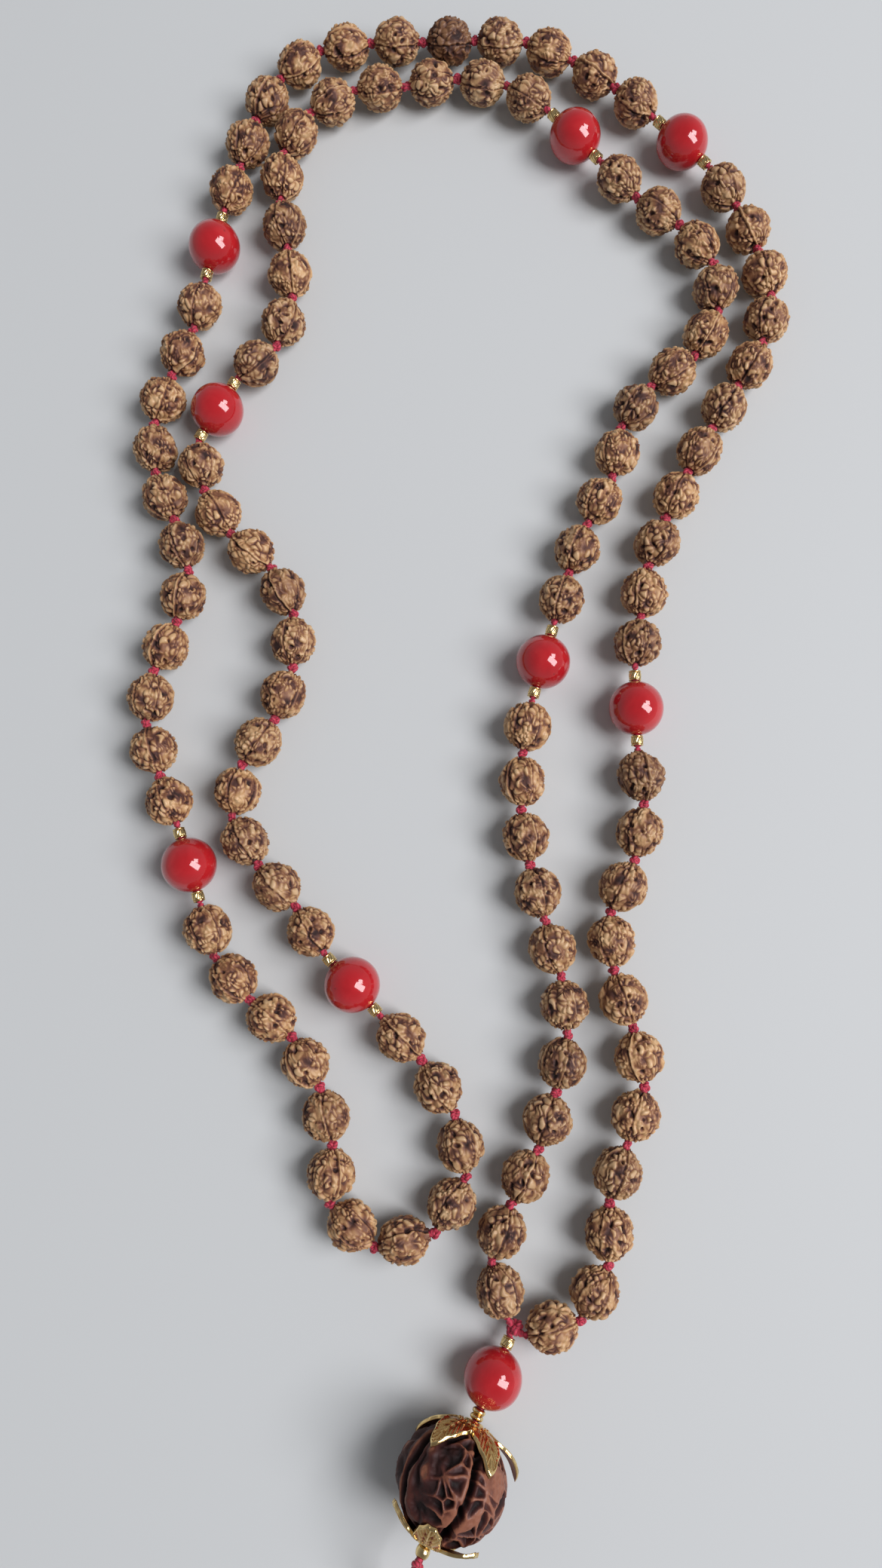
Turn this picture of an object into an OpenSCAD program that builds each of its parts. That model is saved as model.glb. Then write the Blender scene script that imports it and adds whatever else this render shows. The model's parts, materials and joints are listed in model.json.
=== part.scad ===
// A string of prayer beads: 100 ribbed seed beads and 8 coral beads on one knotted
// thread, and a pendant with a coral bead, a large capped seed bead and a thread tail.
// The loop lies flat as a doubled strand that is bent into a horseshoe. +Y points from
// the pendant to the crown of the horseshoe, and +Z is up from the table.

/* [Seed beads] */
// Width of a loop seed bead, across its bore
seed_w = 7.2; // [6.8:0.1:7.2]
// Length of a loop seed bead, along its bore
seed_len = 7.5; // [7.3:0.1:7.5]

/* [Coral beads] */
// Diameter of a coral bead
coral_d = 8; // [7.6:0.1:8]

/* [Thread] */
// Diameter of the waxed thread
thread_d = 1; // [0.8:0.1:1]
// Gap between the thread and the wall of a bore
bore_gap = 0.05; // [0.03:0.01:0.08]
// Diameter of a knot between two seed beads
knot_d = 1.7; // [1.4:0.1:1.7]
// Diameter of the knot that joins the loop and the pendant
junction_d = 2.2; // [1.8:0.1:2.2]

/* [Gold spacers] */
// Diameter of a gold spacer
spacer_d = 1.9; // [1.6:0.1:1.9]
// Length of a gold spacer, along its bore
spacer_len = 1.5; // [1.2:0.1:1.5]

/* [Guru bead] */
// Width of the guru bead, across its bore
guru_w = 15; // [13:0.5:15]
// Length of the guru bead, along its bore
guru_len = 14.4; // [12.8:0.2:14.4]
// Wall thickness of the gold bead caps
cap_wall = 0.35; // [0.3:0.05:0.4]
// Reach of the upper cap's petals from the bore
upper_petal = 6.4; // [5.4:0.2:6.4]
// Reach of the lower cap's petals from the bore
lower_petal = 5.2; // [4.4:0.2:5.4]
// Number of petals on a cap
petals = 5; // [5:1:8]

/* [Hidden] */
$fn = 48;
steps = 12;          // straight pieces between two route points
mouth_r = 1.05;      // radius of the hollow at each end of a seed bead's bore
free_gap = 0.1;      // gap between a knot and the thread of the next body
spacer_gap = 0.05;   // gap between a gold spacer and the bead beside it
bore_r = thread_d / 2 + bore_gap;
bend_r = thread_d / 2 + 0.03;
in_ball = 0.12;       // how far from a ball's centre a straight run of thread starts
link_gap = 0.2;       // from the end of a gold spacer to the thread's bend
coral_half = coral_d / 2 + spacer_len + 2 * spacer_gap + link_gap;
junction_gap = 1.5;   // from the junction knot's centre to the first and last seed bead
rim_turn = 0.25;      // how far the rims of a gold spacer are turned in
petal_slim = 0.24;    // half the width of a petal, as a share of its reach
petal_disc = 0.52;    // radius of the disc that joins the petals, as a share of their reach
tube_sides = 8;
tube_level = [0, 1, 0.3]; // a direction that the tail never takes

// The loop's route over the table, in mm. Each leg starts at a stop: the junction knot,
// a coral bead, or a plain knot, and the seed beads share the leg evenly.
LEGS = [
    ["junction", 11, [[7, -85], [11.1, -85.7], [16.9, -82.9], [20.3, -75.1], [20.5, -66], [25, -55.5],
                      [25, -48], [21.5, -37], [21, -29], [26, -18], [26, -10]]],
    ["coral", 11, [[25, 1], [26, 12], [28.5, 25], [35, 39], [41.5, 50], [47, 60.5],
                   [46.5, 70], [41, 83]]],
    ["coral", 11, [[34.5, 90.5], [23, 101.5], [11, 108.5], [-3, 109], [-16, 109],
                   [-25.5, 106.5], [-31.5, 98], [-35, 87]]],
    ["coral", 11, [[-38.5, 74.5], [-41, 62], [-46, 49], [-47, 40], [-42.5, 28], [-41, 19],
                   [-46, 6], [-46.5, -1], [-43, -12]]],
    ["coral", 6, [[-39, -21.5], [-36.5, -32], [-33, -38.5], [-23.7, -46.5], [-18.4, -57.8]]],
    ["knot", 6, [[-18.4, -68.7], [-12.2, -74.5], [-3.4, -72.1], [0.9, -63], [-1.6, -55.6], [-9, -45]]],
    ["coral", 11, [[-16.5, -39.5], [-22.4, -29.6], [-31.8, -18.6], [-33.5, -9.8], [-27.4, 0],
                   [-24.5, 11], [-27, 21], [-34.5, 28], [-39.5, 37]]],
    ["coral", 11, [[-38.5, 48.5], [-29, 57], [-26, 67], [-28, 80], [-27.5, 91.5], [-20, 100],
                   [-8, 101.5], [3, 102.5], [11, 99]]],
    ["coral", 11, [[18, 92], [27, 82], [37, 74], [39.5, 65], [36.5, 56.5], [25.5, 47.5],
                   [23, 37], [17.5, 26]]],
    ["coral", 11, [[12, 8], [9, -4], [9, -18], [13, -34], [15, -44], [11, -60], [5.5, -71],
                   [4, -78]]],
];
junction = [7, -85, 2.5];
pendant_dir = -116;  // heading of the pendant, in degrees from +X
coral_out = 6.8;     // from the junction knot to the pendant coral, in plan
guru_out = 19.7;     // from the junction knot to the guru bead, in plan

// The tail hangs from the guru bead's lower knot to the table and lies there.
TAIL = [[-7.5, -114, 9.8], [-8.5, -116, 8], [-9.5, -118, 5], [-10.5, -120, 2.4],
        [-12, -122.5, 0.8], [-14.5, -126, 0.6], [-16.5, -130, 0.6], [-16.5, -134.5, 0.6],
        [-14, -138.5, 0.6], [-10, -141, 0.7]];
tail_knot_d = 2;

// Seed beads are numbered 0 to 99 from the junction knot. The two strands of an arm fold
// at the knots before and after one bead of each strand.
right_outer = 9;
right_inner = 91;
left_outer = 42;
left_inner = 60;
SEED_GROUPS = [
    ["seed_beads_1a", [0:4]], ["seed_beads_1b", [5:8]],
    ["seed_beads_right_link", [right_outer, right_inner]], ["seed_bead_1c", [10:10]],
    ["seed_beads_2a", [11:14]], ["seed_beads_2b", [15:18]], ["seed_beads_2c", [19:21]],
    ["seed_beads_3a", [22:26]], ["seed_beads_3b", [27:32]],
    ["seed_beads_4a", [33:36]], ["seed_beads_4b", [37:41]],
    ["seed_beads_left_link", [left_outer, left_inner]], ["seed_bead_4c", [43:43]],
    ["seed_beads_5a", [44:49]], ["seed_beads_5b", [50:55]],
    ["seed_beads_6a", [56:59]], ["seed_beads_6b", [61:66]],
    ["seed_beads_7a", [67:72]], ["seed_beads_7b", [73:77]],
    ["seed_beads_8a", [78:82]], ["seed_beads_8b", [83:88]],
    ["seed_beads_9a", [89:90]], ["seed_beads_9b", [92:95]], ["seed_beads_9c", [96:99]],
];

// ---- the loop's route ----
function stop_of(leg) = LEGS[leg % len(LEGS)][0];
function stop_gap(leg) =
    stop_of(leg) == "coral" ? coral_half
    : stop_of(leg) == "knot" ? 0
    : junction_gap;
function running(values, n = 0, sum = 0, out = []) =
    n == len(values) ? concat(out, [sum])
    : running(values, n + 1, sum + values[n], concat(out, [sum]));
route = [for (leg = LEGS) for (p = leg[2]) p];
leg_first = running([for (leg = LEGS) len(leg[2])]);
function route_point(i) = route[(i + len(route)) % len(route)];
function between(a, b, c, d, t) =
    0.5 * (2 * b + (c - a) * t + (2 * a - 5 * b + 4 * c - d) * t * t
           + (3 * b - a - 3 * c + d) * t * t * t);
fine = [
    for (i = [0:len(route) - 1]) for (k = [0:steps - 1])
        between(route_point(i - 1), route_point(i), route_point(i + 1), route_point(i + 2),
                k / steps)
];
function fine_point(i) = fine[i % len(fine)];
so_far = [
    for (i = 0, s = 0; i <= len(fine); s = s + norm(fine_point(i + 1) - fine_point(i)), i = i + 1) s
];
function piece_at(s, low, high) =
    high - low < 2 ? low
    : let (mid = floor((low + high) / 2))
      so_far[mid] > s ? piece_at(s, low, mid) : piece_at(s, mid, high);
function at(s) =
    let (i = piece_at(s, 0, len(fine)), f = (s - so_far[i]) / (so_far[i + 1] - so_far[i]))
    fine_point(i) * (1 - f) + fine_point(i + 1) * f;

// ---- link points: a seed bead sits between each two, and so does a coral with its spacers ----
function leg_points(leg) =
    let (count = LEGS[leg][1],
         first = so_far[steps * leg_first[leg]] + stop_gap(leg),
         last = so_far[steps * leg_first[leg + 1]] - stop_gap(leg + 1))
    [for (i = [0:count])
        let (p = at(first + (last - first) * i / count),
             by_coral = (i == 0 && stop_of(leg) == "coral")
                        || (i == count && stop_of(leg + 1) == "coral"))
        [p.x, p.y, by_coral ? coral_d / 2 : seed_w / 2]];
link_points = [for (leg = [0:len(LEGS) - 1]) leg_points(leg)];
seeds = [
    for (leg = link_points) for (i = [0:len(leg) - 2]) [leg[i], leg[i + 1]]
];
corals = [
    for (leg = [1:len(LEGS) - 1]) if (stop_of(leg) == "coral")
        [link_points[leg - 1][LEGS[leg - 1][1]], link_points[leg][0]]
];

// ---- the thread's own points, from the junction knot all the way round to it ----
function joined(leg) = stop_of(leg + 1) == "knot" ? 1 : 0;
leg_offset = running([for (leg = [0:len(LEGS) - 1]) LEGS[leg][1] + 1 - joined(leg)]);
path = [
    junction,
    for (leg = [0:len(LEGS) - 1]) for (i = [0:LEGS[leg][1] - joined(leg)]) link_points[leg][i],
    junction,
];
knotted = [
    false,
    for (leg = [0:len(LEGS) - 1]) for (i = [0:LEGS[leg][1] - joined(leg)])
        (i > 0 && i < LEGS[leg][1]) || (i == 0 && stop_of(leg) == "knot"),
    false,
];
seed_path = [
    for (leg = [0:len(LEGS) - 1]) for (i = [0:LEGS[leg][1] - 1]) 1 + leg_offset[leg] + i
];

// ---- the pendant's points ----
function heading(out) = [cos(pendant_dir) * out, sin(pendant_dir) * out, 0];
pendant_coral_at = [junction.x, junction.y, coral_d / 2] + heading(coral_out);
coral_slope = (pendant_coral_at - junction) / norm(pendant_coral_at - junction);
pendant_a = pendant_coral_at - coral_half * coral_slope;
pendant_b = pendant_coral_at + coral_half * coral_slope;
guru_at = [junction.x, junction.y, guru_w / 2] + heading(guru_out);
pendant_c = 2 * guru_at - pendant_b;
guru_half = norm(pendant_c - pendant_b) / 2;
guru_slope = (pendant_c - pendant_b) / (2 * guru_half);
pendant_end = pendant_c + (spacer_len + knot_d / 2 + 2 * spacer_gap) * guru_slope;

// ---- placing and shared shapes ----
module along(a, b) {
    v = b - a;
    translate((a + b) / 2) rotate([0, acos(v.z / norm(v)), atan2(v.y, v.x)]) children();
}

// Half of a seed bead's outline: two round ends on a short straight waist.
module seed_outline() {
    waist = seed_len - seed_w;
    intersection() {
        union() {
            for (side = [-1, 1]) translate([0, side * waist / 2]) circle(d = seed_w);
            translate([0, -waist / 2]) square([seed_w / 2, waist]);
        }
        translate([bore_r, -seed_len]) square([seed_w, 2 * seed_len]);
    }
}

// Half of a bead's outline: an arc that is as wide as w and as long as l.
module bead_outline(w, l) {
    arc = (w / 2 + l * l / (2 * w)) / 2;
    intersection() {
        translate([w / 2 - arc, 0]) circle(r = arc);
        translate([bore_r, -l]) square([w, 2 * l]);
    }
}

module seed(link) {
    rotate_extrude() difference() {
        seed_outline();
        for (side = [-1, 1]) translate([0, side * link / 2]) circle(r = mouth_r);
    }
}

module seed_beads(numbers) {
    color("peru") for (i = numbers) {
        link = seeds[i];
        along(link[0], link[1]) seed(norm(link[1] - link[0]));
    }
}

module coral() {
    color("firebrick") rotate_extrude() bead_outline(coral_d, coral_d);
}

module spacer() {
    rim = spacer_d / 2 - rim_turn;
    shoulder = spacer_len / 4;
    color("gold") rotate_extrude() polygon([
        [bore_r, -spacer_len / 2], [rim, -spacer_len / 2], [spacer_d / 2, -shoulder],
        [spacer_d / 2, shoulder], [rim, spacer_len / 2], [bore_r, spacer_len / 2],
    ]);
}

module spacer_pair(link) {
    for (side = [-1, 1])
        along(link[0], link[1])
            translate([0, 0, side * (coral_d / 2 + spacer_gap + spacer_len / 2)]) spacer();
}

// Heading of the outer side of the bend at one point of a path.
function outer_side(points, i) =
    let (before = points[i] - points[max(i - 1, 0)],
         after = points[min(i + 1, len(points) - 1)] - points[i],
         way = before + after)
    atan2(way.y, way.x) + (cross(before, after).z > 0 ? -90 : 90);

// A stretch of thread through some points: a ball at each point and a straight run between
// each two balls. A ball's own seam faces the outer side of the bend, clear of both runs.
// A trim leaves the end clear of a knot that belongs to another body.
module stretch(points, knots, trim_start = 0, trim_end = 0) {
    last = len(points) - 1;
    color("firebrick") for (i = [0:last - 1]) {
        way = (points[i + 1] - points[i]) / norm(points[i + 1] - points[i]);
        a = points[i] + max(in_ball, i == 0 ? trim_start : 0) * way;
        b = points[i + 1] - max(in_ball, i == last - 1 ? trim_end : 0) * way;
        along(a, b) cylinder(h = norm(b - a), d = thread_d, center = true);
    }
    color("firebrick") for (i = [0:last]) {
        trimmed = (i == 0 && trim_start > 0) || (i == last && trim_end > 0);
        if (!trimmed)
            translate(points[i]) rotate(outer_side(points, i))
                sphere(r = knots[i] ? knot_d / 2 : bend_r);
    }
}

module strand(first, last, trim_start = 0, trim_end = 0) {
    stretch([for (i = [first:last]) path[i]], [for (i = [first:last]) knotted[i]],
            trim_start, trim_end);
}

// ---- thread ----
clear_of_knot = knot_d / 2 + free_gap;
clear_of_junction = junction_d / 2 + free_gap;

module thread_crown_outer() {
    strand(seed_path[right_outer] + 1, seed_path[left_outer]);
}

module thread_crown_inner() {
    strand(seed_path[left_inner] + 1, seed_path[right_inner]);
}

module thread_right_link() {
    strand(seed_path[right_outer], seed_path[right_outer] + 1, 0, clear_of_knot);
    strand(seed_path[right_inner], seed_path[right_inner] + 1, clear_of_knot, 0);
}

module thread_right_outer() {
    strand(0, seed_path[right_outer], clear_of_junction, clear_of_knot);
}

module thread_right_inner() {
    strand(seed_path[right_inner] + 1, len(path) - 1, clear_of_knot, clear_of_junction);
}

module thread_left_link() {
    strand(seed_path[left_outer], seed_path[left_outer] + 1, clear_of_knot, 0);
    strand(seed_path[left_inner], seed_path[left_inner] + 1, 0, clear_of_knot);
}

module thread_left_arm() {
    strand(seed_path[left_outer] + 1, seed_path[left_inner], clear_of_knot, clear_of_knot);
}

module junction_knot() {
    color("firebrick") translate(junction) sphere(d = junction_d);
}

// ---- pendant ----
module pendant_thread() {
    stretch([junction, pendant_b, pendant_c, pendant_end], [false, false, false, true],
            clear_of_junction, 0);
}

module pendant_coral() {
    along(pendant_a, pendant_b) coral();
}

module pendant_spacer_upper() {
    along(pendant_a, pendant_b)
        translate([0, 0, -(coral_d + spacer_len) / 2 - spacer_gap]) spacer();
}

module pendant_spacer_middle() {
    along(pendant_a, pendant_b)
        translate([0, 0, (coral_d + spacer_len) / 2 + spacer_gap]) spacer();
}

module pendant_spacer_lower() {
    along(pendant_b, pendant_c)
        translate([0, 0, guru_half + spacer_gap + spacer_len / 2]) spacer();
}

module guru_bead() {
    color("saddlebrown") along(pendant_b, pendant_c)
        rotate_extrude() bead_outline(guru_w, guru_len);
}

// Pointed petals round a disc, seen along the bore.
module petal_outline(reach) {
    half = reach / 2;
    width = reach * petal_slim;
    arc = (half * half + width * width) / (2 * width);
    circle(r = reach * petal_disc);
    for (i = [0:petals - 1]) rotate(360 * i / petals) intersection() {
        translate([half, arc - width]) circle(r = arc);
        translate([half, width - arc]) circle(r = arc);
    }
}

// A thin gold cup that follows the guru bead's end.
module cap(reach) {
    arc = (guru_w / 2 + guru_len * guru_len / (2 * guru_w)) / 2;
    color("gold") intersection() {
        rotate_extrude() difference() {
            intersection() {
                translate([guru_w / 2 - arc, 0]) circle(r = arc + spacer_gap + cap_wall);
                translate([bore_r, 0]) square(guru_w);
            }
            translate([guru_w / 2 - arc, 0]) circle(r = arc + spacer_gap);
        }
        linear_extrude(guru_len) petal_outline(reach);
    }
}

module guru_cap_upper() {
    along(pendant_c, pendant_b) cap(upper_petal);
}

module guru_cap_lower() {
    along(pendant_b, pendant_c) cap(lower_petal);
}

// ---- tail ----
// A tube with eight sides through the points, from ring to ring.
module tube(points, d) {
    last = len(points) - 1;
    function way(i) = let (v = points[min(i + 1, last)] - points[max(i - 1, 0)]) v / norm(v);
    function side(i) = let (v = cross(way(i), tube_level)) v / norm(v);
    function ring(i) = [
        for (k = [0:tube_sides - 1])
            points[i] + d / 2 * (cos(360 * k / tube_sides) * side(i)
                                 + sin(360 * k / tube_sides) * cross(way(i), side(i)))
    ];
    polyhedron(
        points = [for (i = [0:last]) each ring(i)],
        faces = [
            [for (k = [0:tube_sides - 1]) k],
            [for (k = [0:tube_sides - 1]) last * tube_sides + tube_sides - 1 - k],
            for (i = [0:last - 1]) for (k = [0:tube_sides - 1])
                let (next = (k + 1) % tube_sides)
                [i * tube_sides + k, (i + 1) * tube_sides + k, (i + 1) * tube_sides + next,
                 i * tube_sides + next],
        ]
    );
}

tail_points = concat([pendant_end], TAIL);
function tail_point(i) = tail_points[min(max(i, 0), len(tail_points) - 1)];

module tail() {
    smooth = [
        for (i = [0:len(tail_points) - 2]) for (k = [0:1])
            between(tail_point(i - 1), tail_point(i), tail_point(i + 1), tail_point(i + 2), k / 2),
        tail_points[len(tail_points) - 1],
    ];
    color("firebrick") tube(smooth, thread_d);
}

module tail_knot() {
    tip = tail_points[len(tail_points) - 1];
    color("firebrick") translate([tip.x, tip.y, tail_knot_d / 2]) sphere(d = tail_knot_d);
}

for (group = SEED_GROUPS) seed_beads(group[1]);
for (i = [1:8]) along(corals[i - 1][0], corals[i - 1][1]) coral();
for (i = [1:8]) spacer_pair(corals[i - 1]);
thread_crown_outer();
thread_crown_inner();
thread_right_link();
thread_right_outer();
thread_right_inner();
thread_left_link();
thread_left_arm();
junction_knot();
pendant_thread();
pendant_coral();
pendant_spacer_upper();
pendant_spacer_middle();
pendant_spacer_lower();
guru_bead();
guru_cap_upper();
guru_cap_lower();
tail();
tail_knot();
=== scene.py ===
"""The looks of a string of prayer beads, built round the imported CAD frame, in metres.

Order: camera and tail first, then where each bead and knot is (from the frame), then one
section for each kind of piece, its material, and last the floor and the light.
"""
import json
import math

import bmesh
import bpy
import numpy as np
from mathutils import Matrix, Vector

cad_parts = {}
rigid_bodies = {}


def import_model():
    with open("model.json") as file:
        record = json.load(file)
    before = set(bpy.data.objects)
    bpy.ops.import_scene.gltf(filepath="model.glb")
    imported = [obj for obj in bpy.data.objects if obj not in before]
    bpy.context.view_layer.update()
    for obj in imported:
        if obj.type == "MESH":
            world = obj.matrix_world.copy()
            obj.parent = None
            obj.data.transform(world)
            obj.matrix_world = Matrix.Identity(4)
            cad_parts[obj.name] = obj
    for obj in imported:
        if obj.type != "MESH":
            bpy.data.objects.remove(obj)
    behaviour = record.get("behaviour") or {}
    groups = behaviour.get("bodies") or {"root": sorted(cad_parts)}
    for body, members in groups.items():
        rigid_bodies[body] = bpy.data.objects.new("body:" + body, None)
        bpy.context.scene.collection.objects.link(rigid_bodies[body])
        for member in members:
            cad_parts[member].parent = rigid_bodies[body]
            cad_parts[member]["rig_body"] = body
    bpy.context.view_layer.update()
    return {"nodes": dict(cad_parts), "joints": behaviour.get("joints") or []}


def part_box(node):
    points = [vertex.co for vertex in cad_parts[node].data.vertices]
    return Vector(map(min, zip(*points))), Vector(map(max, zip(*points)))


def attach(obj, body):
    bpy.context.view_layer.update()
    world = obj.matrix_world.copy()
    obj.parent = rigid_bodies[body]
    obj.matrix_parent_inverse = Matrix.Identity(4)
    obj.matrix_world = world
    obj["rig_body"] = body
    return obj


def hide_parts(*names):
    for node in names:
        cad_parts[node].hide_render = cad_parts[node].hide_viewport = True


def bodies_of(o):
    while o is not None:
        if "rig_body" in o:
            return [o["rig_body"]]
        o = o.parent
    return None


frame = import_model()

MM = 0.001
TURN = 2 * math.pi
FAR = 99    # further than anything on the string, in mm

# ---------------------------------------------------------------- camera
CAMERA_AT = Vector((1.67, -30.73, 163.6)) * MM
LOOKS_AT = Vector((-3, -10, 4)) * MM
LENS = 25.5


def make_camera():
    """Looks down on the string, with the top of the picture towards +Y."""
    data = bpy.data.cameras.new("camera")
    data.lens = LENS
    data.clip_start = 0.01
    camera = bpy.data.objects.new("camera", data)
    bpy.context.scene.collection.objects.link(camera)
    back = (CAMERA_AT - LOOKS_AT).normalized()
    right = Vector((0, 1, 0)).cross(back).normalized()
    turned = Matrix((right, back.cross(right), back)).transposed()
    camera.matrix_world = Matrix.Translation(CAMERA_AT) @ turned.to_4x4()
    bpy.context.scene.camera = camera


# ---------------------------------------------------------------- shared mesh code
def unit(v):
    return v / np.linalg.norm(v)


def islands(name):
    """The corners of each separate solid in a CAD node, in mm, one array for each."""
    solid = bmesh.new()
    solid.from_mesh(frame["nodes"][name].data)
    bmesh.ops.remove_doubles(solid, verts=solid.verts, dist=0.002 * MM)
    found, seen = [], set()
    for first in solid.verts:
        if first in seen:
            continue
        seen.add(first)
        reached = [first]
        for corner in reached:
            for edge in corner.link_edges:
                other = edge.other_vert(corner)
                if other not in seen:
                    seen.add(other)
                    reached.append(other)
        found.append(np.array([corner.co for corner in reached]) / MM)
    solid.free()
    return found


def body_of(node):
    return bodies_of(frame["nodes"][node])[0]


def grid_faces(rows, columns, close_rows):
    """Four-sided faces of a grid whose rows are rings; close_rows joins the last to the first."""
    i, j = np.meshgrid(np.arange(rows if close_rows else rows - 1), np.arange(columns),
                       indexing="ij")
    up, side = (i + 1) % rows, (j + 1) % columns
    return np.stack([i * columns + j, i * columns + side, up * columns + side,
                     up * columns + j], -1).reshape(-1, 4)


def add_piece(name, parts, material, body, nodes=()):
    """One smooth mesh from parts, each (points in mm, four-sided faces, {attribute: values})."""
    offsets = np.cumsum([0] + [len(p[0]) for p in parts])
    points = np.concatenate([p[0] for p in parts]) * MM
    faces = np.concatenate([p[1] + offset for p, offset in zip(parts, offsets)])
    mesh = bpy.data.meshes.new(name)
    mesh.vertices.add(len(points))
    mesh.vertices.foreach_set("co", points.astype(np.float32).ravel())
    mesh.loops.add(faces.size)
    mesh.loops.foreach_set("vertex_index", faces.astype(np.int32).ravel())
    mesh.polygons.add(len(faces))
    mesh.polygons.foreach_set("loop_start", np.arange(0, faces.size, 4, dtype=np.int32))
    mesh.polygons.foreach_set("use_smooth", np.ones(len(faces), bool))
    for key in parts[0][2]:
        values = np.concatenate([np.broadcast_to(p[2][key], len(p[0])) for p in parts])
        mesh.attributes.new(key, "FLOAT", "POINT").data.foreach_set(
            "value", values.astype(np.float32))
    mesh.materials.append(material)
    mesh.update(calc_edges=True)
    piece = bpy.data.objects.new(name, mesh)
    bpy.context.scene.collection.objects.link(piece)
    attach(piece, body)
    if nodes:
        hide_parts(*nodes)
    return piece


def axes_for(direction):
    """Three unit axes as rows, the last along direction."""
    z = unit(np.asarray(direction, float))
    x = unit(np.cross([0, 0, 1] if abs(z[2]) < 0.9 else [0, 1, 0], z))
    return np.array([x, np.cross(z, x), z])


def random_waves(points, period, random, count=30):
    """A smooth random field of one period, in mm, with a spread of about 1."""
    ways = random.normal(size=(count, 3))
    ways *= TURN / period / np.linalg.norm(ways, axis=1)[:, None]
    shifts = random.uniform(0, TURN, count)
    return np.cos(points @ ways.T + shifts).sum(1) * math.sqrt(2 / count)


def run_along(path):
    """Distance along a path at each of its points."""
    return np.concatenate([[0], np.cumsum(np.linalg.norm(np.diff(path, axis=0), axis=1))])


def tube(path, radius, sides=12, plies=0, lay=3.0, depth=0.12):
    """Points and faces of a tube along path, in mm. plies grooves wind round it, one turn
    in each lay."""
    path = np.asarray(path, float)
    ways = np.gradient(path, axis=0)
    ways /= np.linalg.norm(ways, axis=1)[:, None]
    side = axes_for(ways[0])[0]
    angle = np.arange(sides) * TURN / sides
    rings = []
    for at, way, run in zip(path, ways, run_along(path)):
        side = unit(side - way * (side @ way))
        across = np.cross(way, side)
        r = np.full(sides, float(radius))
        if plies:
            r *= 1 - depth + depth * np.abs(np.cos((angle - TURN * run / lay) * plies / 2))
        rings.append(at + r[:, None] * (np.cos(angle)[:, None] * side
                                        + np.sin(angle)[:, None] * across))
    return np.concatenate(rings), grid_faces(len(path), sides, False)


def closed_tube(path, radius, **shape):
    """A tube whose ends are drawn to a point, so that nothing is open."""
    points, faces = tube(path, radius, **shape)
    sides = shape.get("sides", 12)
    points[:sides] = points[:sides].mean(0)
    points[-sides:] = points[-sides:].mean(0)
    return points, faces


# ---------------------------------------------------------------- shared material code
def new_material(name):
    """A material, its node tree and its principled shader."""
    material = bpy.data.materials.new(name)
    material.use_nodes = True
    return material, material.node_tree, material.node_tree.nodes["Principled BSDF"]


def add_node(tree, kind, inputs=(), **settings):
    node = tree.nodes.new(kind)
    for key, value in settings.items():
        setattr(node, key, value)
    for key, value in dict(inputs).items():
        if isinstance(value, bpy.types.NodeSocket):
            tree.links.new(value, node.inputs[key])
        else:
            node.inputs[key].default_value = value
    return node


def attribute(tree, name):
    return add_node(tree, "ShaderNodeAttribute", attribute_name=name).outputs["Fac"]


def noise(tree, scale, detail=4.0, roughness=0.6, distortion=0.0):
    """Noise over the object's own coordinates; scale is per metre."""
    place = add_node(tree, "ShaderNodeTexCoord").outputs["Object"]
    return add_node(tree, "ShaderNodeTexNoise",
                    {"Vector": place, "Scale": scale, "Detail": detail,
                     "Roughness": roughness, "Distortion": distortion}).outputs["Fac"]


def ramp(tree, value, stops):
    """A colour ramp; stops are (position, colour)."""
    node = add_node(tree, "ShaderNodeValToRGB", {"Fac": value})
    elements = node.color_ramp.elements
    while len(elements) < len(stops):
        elements.new(0.5)
    for element, (position, colour) in zip(elements, stops):
        element.position = position
        element.color = (*colour, 1)
    return node.outputs["Color"]


def maths(tree, operation, a, b, c=0.0, clamp=False):
    node = tree.nodes.new("ShaderNodeMath")
    node.operation = operation
    node.use_clamp = clamp
    for socket, value in zip(node.inputs, (a, b, c)):
        if isinstance(value, bpy.types.NodeSocket):
            tree.links.new(value, socket)
        else:
            socket.default_value = value
    return node.outputs[0]


def spread(tree, value, low, high):
    """value, from 0 to 1, spread over low to high."""
    return maths(tree, "MULTIPLY_ADD", value, high - low, low)


def mixed(tree, factor, a, b, blend="MIX"):
    node = add_node(tree, "ShaderNodeMix", data_type="RGBA", blend_type=blend)
    for key, value in ((0, factor), (6, a), (7, b)):
        if isinstance(value, bpy.types.NodeSocket):
            tree.links.new(value, node.inputs[key])
        else:
            node.inputs[key].default_value = value if key == 0 else (*value, 1)
    return node.outputs[2]


def bumped(tree, shader, height, distance, strength=1.0):
    bump = add_node(tree, "ShaderNodeBump",
                    {"Height": height, "Distance": distance, "Strength": strength})
    tree.links.new(bump.outputs["Normal"], shader.inputs["Normal"])


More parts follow.
